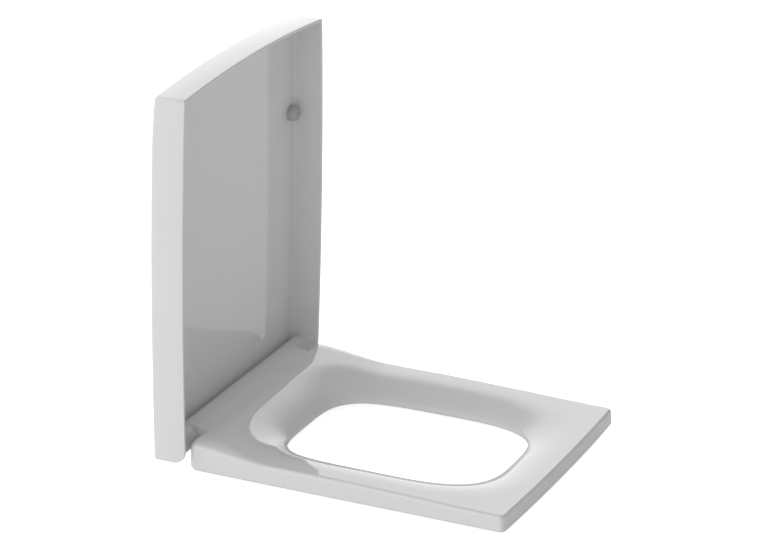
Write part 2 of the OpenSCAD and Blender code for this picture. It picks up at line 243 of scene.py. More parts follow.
class Effects:
    """The shader node groups, each made once and placed in every finish that needs it."""

    def __init__(self) -> None:
        """Makes the groups."""
        self.flow = self._flow()
        self.wear = self._wear()
        self.dust = self._dust()
        self.marks = self._marks()

    @staticmethod
    def _flow() -> bpy.types.NodeTree:
        """The long faint waves and fine grain that a mould leaves, as a normal."""
        graph, into, out = new_group("mould_flow", "ShaderNodeTree", [
            ("Vector", VECTOR, None), ("Wave size", FLOAT, 30.0), ("Grain size", FLOAT, 900.0),
            ("Wave depth", FLOAT, 0.0002), ("Grain depth", FLOAT, 0.00001),
        ], [("Normal", VECTOR)])
        wave = graph.node("ShaderNodeTexNoise", {
            "Vector": into.outputs["Vector"], "Scale": into.outputs["Wave size"], "Detail": 1.0})
        grain = graph.node("ShaderNodeTexNoise", {
            "Vector": into.outputs["Vector"], "Scale": into.outputs["Grain size"], "Detail": 3.0})
        height = (Value(graph, wave.outputs["Fac"]) * Value(graph, into.outputs["Wave depth"])
                  + Value(graph, grain.outputs["Fac"]) * Value(graph, into.outputs["Grain depth"]))
        bump = graph.node("ShaderNodeBump", {"Height": height, "Strength": 1.0, "Distance": 1.0})
        graph.feed(out.inputs["Normal"], bump.outputs["Normal"])
        return graph.tree

    @staticmethod
    def _wear() -> bpy.types.NodeTree:
        """A mask that is 1 on worn outside edges, broken up by noise."""
        graph, into, out = new_group("edge_wear", "ShaderNodeTree", [
            ("Vector", VECTOR, None), ("Amount", FLOAT, 0.5), ("Patch size", FLOAT, 60.0),
        ], [("Mask", FLOAT)])
        geometry = graph.node("ShaderNodeNewGeometry")
        edge = graph.ramp(geometry.outputs["Pointiness"], [(0.515, 0.0), (0.60, 1.0)])
        patch = graph.node("ShaderNodeTexNoise", {
            "Vector": into.outputs["Vector"], "Scale": into.outputs["Patch size"], "Detail": 5.0})
        broken = graph.ramp(patch.outputs["Fac"], [(0.35, 0.0), (0.65, 1.0)])
        mask = Value(graph, edge) * Value(graph, broken) * Value(graph, into.outputs["Amount"])
        graph.feed(out.inputs["Mask"], mask.clamped())
        return graph.tree

    @staticmethod
    def _dust() -> bpy.types.NodeTree:
        """A mask of fine dust that settles on faces that look up."""
        graph, into, out = new_group("settled_dust", "ShaderNodeTree", [
            ("Vector", VECTOR, None), ("Amount", FLOAT, 0.1),
        ], [("Mask", FLOAT)])
        geometry = graph.node("ShaderNodeNewGeometry")
        up = graph.split(geometry.outputs["Normal"])[2].clamped()
        cloud = graph.noise(into.outputs["Vector"], 14.0, 4.0, 0.6)
        speck = graph.noise(into.outputs["Vector"], 1400.0, 2.0, 0.7)
        mask = up * cloud * (speck * 0.5 + 0.5) * Value(graph, into.outputs["Amount"])
        graph.feed(out.inputs["Mask"], mask.clamped())
        return graph.tree

    @staticmethod
    def _marks() -> bpy.types.NodeTree:
        """Roughness that varies with wiping and handling: broad smears and hair-fine lines."""
        graph, into, out = new_group("handling_marks", "ShaderNodeTree", [
            ("Vector", VECTOR, None), ("Base", FLOAT, 0.1), ("Spread", FLOAT, 0.05),
        ], [("Roughness", FLOAT)])
        smear = graph.noise(into.outputs["Vector"], 9.0, 3.0, 0.55)
        stretched = graph.node("ShaderNodeMapping", {
            "Vector": into.outputs["Vector"], "Scale": (30.0, 420.0, 30.0)})
        lines = graph.noise(stretched.outputs[0], 3.0, 2.0, 0.6)
        hair = Value(graph, graph.ramp(lines.socket, [(0.62, 0.0), (0.72, 1.0)]))
        spread = Value(graph, into.outputs["Spread"])
        rough = Value(graph, into.outputs["Base"]) + spread * (smear - 0.5) + spread * hair * 0.6
        graph.feed(out.inputs["Roughness"], rough.clamped())
        return graph.tree


# ---------------------------------------------------------------------------
# Finishes
# ---------------------------------------------------------------------------

Colour = tuple[float, float, float]
DUST_COLOUR = (0.62, 0.60, 0.57, 1.0)
DUST_ROUGHENS = 0.5


@dataclass(frozen=True)
class Finish:
    """A surface finish: its colours, gloss, mould texture, wear and dust."""

    name: str
    colour: Colour
    second: Colour
    worn: Colour
    roughness: float
    spread: float
    metallic: float = 0.0
    ior: float = 1.5
    coat: float = 0.0
    coat_roughness: float = 0.03
    cloud_size: float = 6.0
    wave_size: float = 30.0
    wave_depth: float = 0.00006
    grain_size: float = 900.0
    grain_depth: float = 0.000004
    wear: float = 0.3
    dust: float = 0.08

    def material(self, effects: Effects) -> bpy.types.Material:
        """Builds the finish as a material.

        Args:
            effects: The shared node groups.

        Returns:
            The new material.
        """
        made = bpy.data.materials.new(self.name)
        made.use_nodes = True
        made.node_tree.nodes.clear()
        graph = Graph(made.node_tree)
        place = graph.node("ShaderNodeTexCoord").outputs["Object"]
        cloud = graph.noise(place, self.cloud_size, 3.0, 0.6)
        body = graph.mix(cloud, (*self.colour, 1.0), (*self.second, 1.0))
        wear = self._group(graph, effects.wear, {"Vector": place, "Amount": self.wear})
        worn = graph.mix(wear.outputs["Mask"], body, (*self.worn, 1.0))
        dust = self._group(graph, effects.dust, {"Vector": place, "Amount": self.dust})
        dusty = graph.mix(dust.outputs["Mask"], worn, DUST_COLOUR)
        marks = self._group(graph, effects.marks, {
            "Vector": place, "Base": self.roughness, "Spread": self.spread})
        dulled = Value(graph, dust.outputs["Mask"]) * DUST_ROUGHENS
        rough = Value(graph, marks.outputs["Roughness"]) + dulled
        flow = self._group(graph, effects.flow, {
            "Vector": place, "Wave size": self.wave_size, "Wave depth": self.wave_depth,
            "Grain size": self.grain_size, "Grain depth": self.grain_depth})
        shader = graph.node("ShaderNodeBsdfPrincipled", {
            "Base Color": dusty, "Roughness": rough.clamped(), "Metallic": self.metallic,
            "IOR": self.ior, "Coat Weight": self.coat, "Coat Roughness": self.coat_roughness,
            "Normal": flow.outputs["Normal"]})
        graph.node("ShaderNodeOutputMaterial", {"Surface": shader.outputs["BSDF"]})
        return made

    @staticmethod
    def _group(graph: Graph, tree: bpy.types.NodeTree, inputs: dict) -> bpy.types.Node:
        """Places a shared group with this finish's own values."""
        made = graph.tree.nodes.new("ShaderNodeGroup")
        made.node_tree = tree
        for key, value in inputs.items():
            graph.feed(made.inputs[key], value)
        return made


DUROPLAST = Finish(
    "gloss_white_duroplast", (0.805, 0.788, 0.785), (0.78, 0.765, 0.762), (0.84, 0.83, 0.825),
    roughness=0.07, spread=0.05, ior=1.52, coat=0.35, coat_roughness=0.03,
    wave_size=26.0, wave_depth=0.00005, grain_size=1100.0, grain_depth=0.0000012,
    wear=0.2, dust=0.05)
BARREL = Finish(
    "white_hinge_sleeve", (0.74, 0.735, 0.73), (0.70, 0.695, 0.69), (0.80, 0.79, 0.78),
    roughness=0.24, spread=0.08, grain_depth=0.000006, dust=0.15)
BUMPER = Finish(
    "soft_grey_bumper", (0.50, 0.52, 0.51), (0.44, 0.46, 0.45), (0.60, 0.61, 0.605),
    roughness=0.5, spread=0.12, ior=1.45, grain_size=1600.0, grain_depth=0.00001, dust=0.1)
BUFFER = Finish(
    "pale_buffer_rubber", (0.56, 0.57, 0.565), (0.50, 0.51, 0.505), (0.66, 0.66, 0.65),
    roughness=0.55, spread=0.12, ior=1.45, grain_size=1500.0, grain_depth=0.00001, dust=0.2)
GASKET = Finish(
    "black_gasket_rubber", (0.045, 0.045, 0.048), (0.03, 0.03, 0.032), (0.12, 0.12, 0.12),
    roughness=0.62, spread=0.15, ior=1.45, grain_size=1500.0, grain_depth=0.000014, dust=0.3)
ZINC = Finish(
    "satin_cast_zinc", (0.58, 0.585, 0.59), (0.50, 0.505, 0.515), (0.78, 0.78, 0.78),
    roughness=0.33, spread=0.14, metallic=1.0, grain_size=1300.0, grain_depth=0.00001, dust=0.15)
CHROME = Finish(
    "polished_chrome", (0.80, 0.805, 0.81), (0.76, 0.765, 0.775), (0.86, 0.86, 0.86),
    roughness=0.06, spread=0.05, metallic=1.0, wave_depth=0.00003, grain_depth=0.000001)
STEEL = Finish(
    "drawn_stainless_steel", (0.60, 0.595, 0.585), (0.52, 0.52, 0.515), (0.76, 0.75, 0.74),
    roughness=0.25, spread=0.12, metallic=1.0, grain_size=1700.0, grain_depth=0.000004)
NYLON = Finish(
    "natural_nylon", (0.78, 0.76, 0.69), (0.72, 0.70, 0.63), (0.84, 0.82, 0.76),
    roughness=0.4, spread=0.1, ior=1.53, grain_depth=0.00001)
DAMPER = Finish(
    "black_damper_casing", (0.05, 0.05, 0.055), (0.035, 0.035, 0.04), (0.14, 0.14, 0.14),
    roughness=0.35, spread=0.12, grain_depth=0.00001)


# ---------------------------------------------------------------------------
# Mesh helpers
# ---------------------------------------------------------------------------

def mesh_piece(name: str, data: bpy.types.Mesh) -> bpy.types.Object:
    """Makes an object at the origin from a mesh and puts it in the scene."""
    made = bpy.data.objects.new(name, data)
    bpy.context.scene.collection.objects.link(made)
    return made


def smooth_by_angle(data: bpy.types.Mesh, degrees: float) -> None:
    """Shades the mesh smooth, apart from edges that turn more than the angle."""
    data.shade_smooth()
    data.set_sharp_from_angle(angle=math.radians(degrees))


def settle(made: bpy.types.Object) -> bpy.types.Object:
    """Turns an object's modifiers into a plain mesh and takes them off it."""
    bpy.context.view_layer.update()
    evaluated = made.evaluated_get(bpy.context.evaluated_depsgraph_get())
    plain = bpy.data.meshes.new_from_object(evaluated)
    made.modifiers.clear()
    made.data = plain
    return made


def dress(made: bpy.types.Object, material: bpy.types.Material) -> None:
    """Gives the object one material."""
    made.data.materials.clear()
    made.data.materials.append(material)


def nodes_modifier(made: bpy.types.Object, tree: bpy.types.NodeTree, values: dict) -> None:
    """Adds a Geometry Nodes modifier and sets its inputs by their sockets' identifiers."""
    modifier = made.modifiers.new(tree.name, "NODES")
    modifier.node_group = tree
    for item in tree.interface.items_tree:
        if item.item_type == "SOCKET" and item.in_out == "INPUT" and item.name in values:
            modifier[item.identifier] = values[item.name]


def ease(t: np.ndarray) -> np.ndarray:
    """Rises from 0 to 1 as t does, level at both ends."""
    t = np.clip(t, 0.0, 1.0)
    return t * t * (3.0 - 2.0 * t)


def arc(centre: tuple[float, float], radius: float, start: float, stop: float, steps: int) -> np.ndarray:
    """Points on an arc after its start, as rows of y and z, with angles in degrees."""
    angles = np.radians(np.linspace(start, stop, steps + 1)[1:])
    return np.stack([centre[0] + radius * np.cos(angles), centre[1] + radius * np.sin(angles)], 1)


def line(start: Sequence[float], stop: Sequence[float], steps: int) -> np.ndarray:
    """Evenly spaced points after the start of a straight line."""
    share = np.linspace(0.0, 1.0, steps + 1)[1:, None]
    return np.array(start) + (np.array(stop) - np.array(start)) * share


# ---------------------------------------------------------------------------
# The seat ring
# ---------------------------------------------------------------------------

class Edge(Enum):
    """What the outside of the ring is at a column of its mesh."""

    NOSE = "rolled hinge body"
    SLOT = "hinge body over a post's slot"
    END = "rounded end of a side rail"
    WALL = "side or front wall"


@dataclass
class Column:
    """One column of the ring's mesh, from the opening outwards and round underneath."""

    edge: Edge
    shoulder: np.ndarray
    sole: np.ndarray
    outward: np.ndarray
    turned: int


@dataclass
class SeatRing:
    """The moulded ring: rails round a dished opening, and the hinge body at its back."""

    axis_y: float = 36 * MM
    axis_z: float = 34 * MM
    floor: float = -26 * MM
    half: float = 180 * MM
    length: float = 430 * MM
    bow: float = 3.3 * MM
    front_h: float = 21.5 * MM
    mid_h: float = 25.5 * MM
    rear_h: float = 38.5 * MM
    setback: float = 22 * MM
    end_r: float = 9 * MM
    edge_r: float = 4.2 * MM
    rear_edge: tuple[float, float] = (22 * MM, 8 * MM)
    back_edge: float = 7 * MM
    swell: tuple[float, float] = (30 * MM, 130 * MM)
    fall_start: float = 200 * MM
    corner_r: float = 8 * MM
    draft: float = 1.8 * MM
    shoulder_y: float = -51 * MM
    hole_half: float = 108 * MM
    hole_rear: float = -93 * MM
    hole_front: float = -370.3 * MM
    rear_power: float = 4.0
    front_power: float = 3.3
    wall_h: float = 8 * MM
    sill_r: float = 2.5 * MM
    rim_w: float = 14 * MM
    dish_w: float = 54 * MM
    dish_bend: float = 0.8
    dish_ease: float = 1.95
    body_half: float = 141 * MM
    nose_r: float = 15.5 * MM
    slot_x: float = 77.5 * MM
    slot_half: float = 9.5 * MM
    slot_r: float = 12.5 * MM
    slot_shelf: tuple[tuple[float, float], ...] = ((-31 * MM, -2.5 * MM), (-51 * MM, -8.5 * MM))
    channel: float = 3 * MM
    border: float = 13 * MM
    channel_rear: float = -62 * MM
    channel_slope: float = 0.8 * MM
    fillet_steps: int = 6
    nose_steps: tuple[int, int] = (14, 10)
    slot_steps: int = 4
    end_steps: int = 8
    wall_steps: int = 65
    corner_steps: int = 8
    front_steps: int = 30
    arc_steps: int = 8
    farthest: float = 300 * MM
    halvings: int = 30
    columns: list[Column] = field(default_factory=list)

    def build(self, material: bpy.types.Material) -> bpy.types.Object:
        """Makes the ring.

        Args:
            material: Its finish.

        Returns:
            The finished piece.
        """
        self.columns = self._half_columns()
        grid = np.stack([self._column_points(c) for c in self.columns])
        flipped = grid[::-1].copy()
        flipped[:, :, 0] *= -1.0
        grid = np.concatenate([grid, flipped])
        data = self._mesh(grid)
        made = mesh_piece("ring_body", data)
        dress(made, material)
        return made

    def _mesh(self, grid: np.ndarray) -> bpy.types.Mesh:
        """Joins the columns into one closed skin."""
        count, rows = grid.shape[:2]
        points = grid.reshape(-1, 3) + np.array([0.0, self.axis_y, self.axis_z])
        faces = []
        for i in range(count):
            n = (i + 1) % count
            for j in range(rows):
                k = (j + 1) % rows
                faces.append((i * rows + j, n * rows + j, n * rows + k, i * rows + k))
        data = bpy.data.meshes.new("ring_body")
        data.from_pydata(points.tolist(), [], faces)
        work = bmesh.new()
        work.from_mesh(data)
        bmesh.ops.remove_doubles(work, verts=work.verts, dist=2 * TINY)
        bmesh.ops.dissolve_degenerate(work, edges=work.edges, dist=TINY)
        bmesh.ops.recalc_face_normals(work, faces=work.faces)
        work.to_mesh(data)
        work.free()
        smooth_by_angle(data, SHELL_ANGLE)
        return data

    def _half_columns(self) -> list[Column]:
        """The columns of the right half, from the middle of the back to the middle of the front."""
        made = []
        back = np.array([0.0, 1.0])
        inner, outer = self.slot_x - self.slot_half, self.slot_x + self.slot_half
        sole_x = self.half - self.edge_r
        for edge, start, stop, steps in (
            (Edge.NOSE, 0.0, inner, self.nose_steps[0]), (Edge.SLOT, inner, outer, self.slot_steps),
            (Edge.NOSE, outer, self.body_half, self.nose_steps[1]),
        ):
            for x in np.linspace(start, stop, steps + 1):
                place = np.array([x, self.shoulder_y])
                made.append(Column(edge, place, place, back, 0))
        end_x = self.half - self._edge_size(self.shoulder_y)[0]
        full = self.fillet_steps
        for share in np.linspace(0.0, 1.0, self.end_steps + 1):
            made.append(self._end_column(end_x, sole_x, share, 0))
        made += [self._end_column(end_x, sole_x, 1.0, turned) for turned in range(1, full + 1)]
        right = np.array([1.0, 0.0])
        corner_y = -(self.length - self.corner_r)
        for y in np.linspace(self.shoulder_y, corner_y, self.wall_steps + 1):
            top = np.array([self.half - self._edge_size(y)[0], y])
            made.append(Column(Edge.WALL, top, np.array([sole_x, y]), right, full))
        tight = self.corner_r - self.edge_r
        middle = np.array([self.half - self.corner_r, corner_y])
        for angle in np.radians(np.linspace(0.0, 90.0, self.corner_steps + 1)[1:]):
            outward = np.array([math.cos(angle), -math.sin(angle)])
            place = middle + outward * tight
            made.append(Column(Edge.WALL, place, place, outward, full))
        for share in np.linspace(1.0, 0.0, self.front_steps + 1)[1:]:
            x = middle[0] * share
            slope = 2.0 * self.bow * share / middle[0]
            outward = np.array([slope, -1.0]) / math.hypot(slope, 1.0)
            y = -self.length - self.bow * (1.0 - share * share)
            place = np.array([x, y]) - outward * self.edge_r
            made.append(Column(Edge.WALL, place, place, outward, full))
        return made

    def _end_column(self, end_x: float, sole_x: float, share: float, turned: int) -> Column:
        """A column across a rail's rear end, part of the way from the body to the rounded edge."""
        top = self.body_half + (end_x - self.body_half) * share
        low = self.body_half + (sole_x - self.body_half) * share
        return Column(Edge.END, np.array([top, self.shoulder_y]), np.array([low, self.shoulder_y]),
                      np.array([0.0, 1.0]), turned)

    # ---- heights ----

    def rail_top(self, y: np.ndarray) -> np.ndarray:
        """Height of the rails' top at a place along the ring, about the axis."""
        d = -np.asarray(y, float)
        front = self.length + self.bow
        return (self.floor + self.front_h
                + (self.mid_h - self.front_h) * ease((front - d) / (front - self.fall_start))
                + (self.rear_h - self.mid_h) * self._swell(d))

    def _swell(self, d: np.ndarray) -> np.ndarray:
        """1 at the rear of the ring and 0 along its front, at a distance in front of the axis."""
        start, end = self.swell
        return ease((end - d) / (end - start))

    def _edge_size(self, y: float) -> tuple[float, float]:
        """Width and drop of the rounded top edge, which grows towards the rear."""
        grown = float(self._swell(np.asarray(-y)))
        wide, drop = self.rear_edge
        return self.edge_r + (wide - self.edge_r) * grown, self.edge_r + (drop - self.edge_r) * grown

    def dish_share(self, grow: np.ndarray) -> np.ndarray:
        """How much of the height above the lip is left, at a distance outside the opening's edge."""
        t = np.clip(grow / self.dish_w, 0.0, 1.0) ** self.dish_bend
        return 1.0 - (1.0 - t) ** self.dish_ease

    def gauge(self, x: np.ndarray, y: np.ndarray, grow: np.ndarray) -> np.ndarray:
        """1 on the opening's outline grown by a distance, less inside it and more outside."""
        middle = (self.hole_rear + self.hole_front) / 2
        long = (self.hole_rear - self.hole_front) / 2
        power = np.where(y > middle, self.rear_power, self.front_power)
        u = np.abs(x) / (self.hole_half + grow)
        v = np.abs(y - middle) / (long + grow)
        return (u ** power + v ** power) ** (1.0 / power)

    def distance_out(self, x: np.ndarray, y: np.ndarray) -> np.ndarray:
        """How far the opening's outline grows to reach each point."""
        low, high = np.zeros_like(x), np.full_like(x, self.farthest)
        for _ in range(self.halvings):
            mid = (low + high) / 2
            outside = self.gauge(x, y, mid) > 1.0
            low, high = np.where(outside, mid, low), np.where(outside, high, mid)
        return (low + high) / 2

    def dished(self, points: np.ndarray) -> np.ndarray:
        """Lowers points above the lip by the dish."""
        lip = self.floor + self.wall_h
        share = self.dish_share(self.distance_out(points[:, 0], points[:, 1]))
        made = points.copy()
        made[:, 2] = np.where(points[:, 2] > lip, lip + (points[:, 2] - lip) * share, points[:, 2])
        return made

    # ---- a column's rows ----

    def _loop_point(self, column: Column, grow: float) -> np.ndarray:
        """Where the column's line from the middle meets the opening's outline grown by a distance."""
        middle = np.array([0.0, (self.hole_rear + self.hole_front) / 2])
        ray = column.shoulder - middle
        reach = self.gauge(np.array([ray[0]]), np.array([ray[1] + middle[1]]), np.array([grow]))[0]
        return middle + ray / reach

    def _turn(self, index: int) -> tuple[float, float]:
        """How far out and how far down a rounded edge of unit size is at one of its steps."""
        angle = math.pi / 2 * index / self.fillet_steps
        return math.sin(angle), 1.0 - math.cos(angle)

    def _end_section(self, column: Column) -> np.ndarray:
        """A rail's rounded rear end: rows of x, y and z, drawn in where the column turns."""
        arc_y = -self.setback - self.end_r
        top = float(self.rail_top(arc_y))
        low = self.floor + self.end_r
        wide, drop = self._edge_size(self.shoulder_y)
        out, down = self._turn(column.turned)
        high_in, back_in, low_in = drop * down, self.back_edge * down, self.edge_r * down
        angles = np.radians(np.linspace(90, 0, self.arc_steps + 1))[1:]
        first = line((self.shoulder_y, 0.0), (arc_y, 0.0), 4)
        first[:, 1] = self.rail_top(first[:, 0]) - high_in
        back = self.end_r - back_in
        over = np.column_stack([arc_y + back * np.cos(angles),
                                top - self.end_r + (self.end_r - high_in) * np.sin(angles)])
        under = np.column_stack([arc_y + back * np.sin(angles),
                                 low - (self.end_r - low_in) * np.cos(angles)])
        last = line((arc_y, self.floor + low_in), (self.shoulder_y, self.floor + low_in), 4)
        face = line(over[-1], under[0], 6)
        rows = np.concatenate([first, over, face, under, last])
        widths = np.concatenate([
            np.full(len(first), wide), np.linspace(wide, self.back_edge, len(over)),
            np.full(len(face), self.back_edge), np.linspace(self.back_edge, self.edge_r, len(under)),
            np.full(len(last), self.edge_r)])
        share = (column.sole[0] - self.body_half) / (self.half - self.edge_r - self.body_half)
        inner = self.body_half + (self.half - widths - self.body_half) * share
        return np.column_stack([inner + widths * out, rows])

    def _body_top(self) -> np.ndarray:
        """The top of the hinge body and the back of its roll: rows of y and z."""
        arc_y = -self.setback - self.end_r
        first = line((self.shoulder_y, 0.0), (arc_y, 0.0), 4)
        first[:, 1] = self.rail_top(first[:, 0])
        rise = line((arc_y, 0.0), (0.0, 0.0), 6)
        start = float(self.rail_top(arc_y))
        step = 1e-4
        slope = (float(self.rail_top(arc_y)) - float(self.rail_top(arc_y - step))) / step
        t = 1.0 - rise[:, 0] / arc_y
        span = -arc_y
        rise[:, 1] = (start * (1 + 2 * t) * (1 - t) ** 2 + self.nose_r * t * t * (3 - 2 * t)
                      + slope * span * t * (1 - t) ** 2)
        return np.concatenate([first, rise, arc((0.0, 0.0), self.nose_r, 90, 0, 8)])

    def _section(self, column: Column) -> np.ndarray:
        """The outside of a rear column, from its shoulder to the underside: rows of x, y and z."""
        if column.edge is Edge.END:
            return self._end_section(column)
        rows = self._back_section(column)
        return np.column_stack([np.full(len(rows), column.shoulder[0]), rows])

    def _back_section(self, column: Column) -> np.ndarray:
        """The back of the hinge body or of a slot: rows of y and z."""
        arc_y = -self.setback - self.end_r
        last = line((arc_y, self.floor), (self.shoulder_y, self.floor), 4)
        if column.edge is Edge.NOSE:
            under = np.array([[-self.setback, self.floor], [arc_y, self.floor]])
            return np.concatenate([
                self._body_top(), arc((0.0, 0.0), self.nose_r, 0, -90, 6), under, last])
        shelf, front = (np.array(point) for point in self.slot_shelf)
        return np.concatenate([
            self._body_top(), [[self.slot_r, 0.0]], arc((0.0, 0.0), self.slot_r, 0, 135, 5),
            [shelf, front], line(front, (self.shoulder_y, self.floor), 4)])

    def _column_points(self, column: Column) -> np.ndarray:
        """All the rows of a column, as points about the axis."""
        sill = [self._sill_point(column, a) for a in np.linspace(-90, 0, 5)]
        wall = [self._at(column, 0.0, h) for h in np.linspace(self.sill_r, self.wall_h, 4)[1:]]
        rim = self._loop_point(column, self.rim_w)
        dish_plan = [self._loop_point(column, self.rim_w * (j / 10) ** 2) for j in range(1, 11)]
        top_plan = line(rim, column.shoulder, 24)
        plan = np.concatenate([np.array(dish_plan), top_plan])
        top = np.column_stack([plan, self.rail_top(plan[:, 1])])
        top = self.dished(top)
        outside = self._outside(column)
        under = self._underside(column)
        return np.concatenate([np.array(sill), np.array(wall), top, outside, under])

    def _outside(self, column: Column) -> np.ndarray:
        """The rounded top edge, the outside and the rounded bottom edge of a column."""
        full = self.fillet_steps
        steps = range(full + 1)
        if column.edge is Edge.WALL:
            upper = [self._upper_edge(column, j) for j in steps[1:]]
            lower = [self._lower_edge(column, full - j) for j in steps]
            between = line(upper[-1], lower[0], 31)[:-1]
            return self._drafted(column, np.concatenate([np.array(upper), between, np.array(lower)]))
        middle = self.dished(self._section(column))
        upper = self.dished(np.array([self._upper_edge(column, min(j, column.turned)) for j in steps[1:]]))
        lower = [self._lower_edge(column, min(column.turned, full - j)) for j in steps]
        return np.concatenate([upper, middle, np.array(lower)])

    def _upper_edge(self, column: Column, index: int) -> np.ndarray:
        """A point on the rounded top edge."""
        out, down = self._turn(index)
        wide, drop = self._edge_size(column.shoulder[1])
        outward = np.array([1.0, 0.0]) if column.edge is Edge.END else column.outward
        top = float(self.rail_top(column.shoulder[1]))
        return np.array([*(column.shoulder + outward * wide * out), top - drop * down])

    def _lower_edge(self, column: Column, index: int) -> np.ndarray:
        """A point on the rounded bottom edge."""
        out, up = self._turn(index)
        outward = np.array([1.0, 0.0]) if column.edge is Edge.END else column.outward
        return np.array([*(column.sole + outward * self.edge_r * out), self.floor + self.edge_r * up])

    def _drafted(self, column: Column, points: np.ndarray) -> np.ndarray:
        """Leans the front wall back towards its top."""
        share = (points[:, 2] - self.floor) / self.front_h
        lean = self.draft * np.clip(share, 0.0, 1.0) * max(0.0, -column.outward[1])
        made = points.copy()
        made[:, 1] += lean
        return made

    def _at(self, column: Column, grow: float, height: float) -> np.ndarray:
        """A point of the column at a distance outside the opening and a height above the floor."""
        return np.array([*self._loop_point(column, grow), self.floor + height])

    def _sill_point(self, column: Column, angle: float) -> np.ndarray:
        """A point on the rounded lower edge of the opening."""
        turn = math.radians(angle)
        return self._at(column, self.sill_r * (1 - math.cos(turn)), self.sill_r * (1 + math.sin(turn)))

    def _underside(self, column: Column) -> np.ndarray:
        """The flat border, the channel and the border round the opening."""
        wide = self.half - self.border
        inner = np.clip(column.sole, [-wide, -(self.length - self.border)], [wide, self.channel_rear])
        hole_edge = self._loop_point(column, self.border)
        toward = (hole_edge - inner) / max(np.linalg.norm(hole_edge - inner), 1e-9) * self.channel_slope
        deep = self.floor + self.channel
        rows = [np.array([*((column.sole + inner) / 2), self.floor]), np.array([*inner, self.floor])]
        start, stop = inner + toward, hole_edge - toward
        rows += [np.array([*place, deep]) for place in [start, *line(start, stop, 5)]]
        rows.append(np.array([*hole_edge, self.floor]))
        rows.append(self._at(column, (self.border + self.sill_r) / 2, 0.0))
        return np.array(rows)


# ---------------------------------------------------------------------------
# The lid
# ---------------------------------------------------------------------------

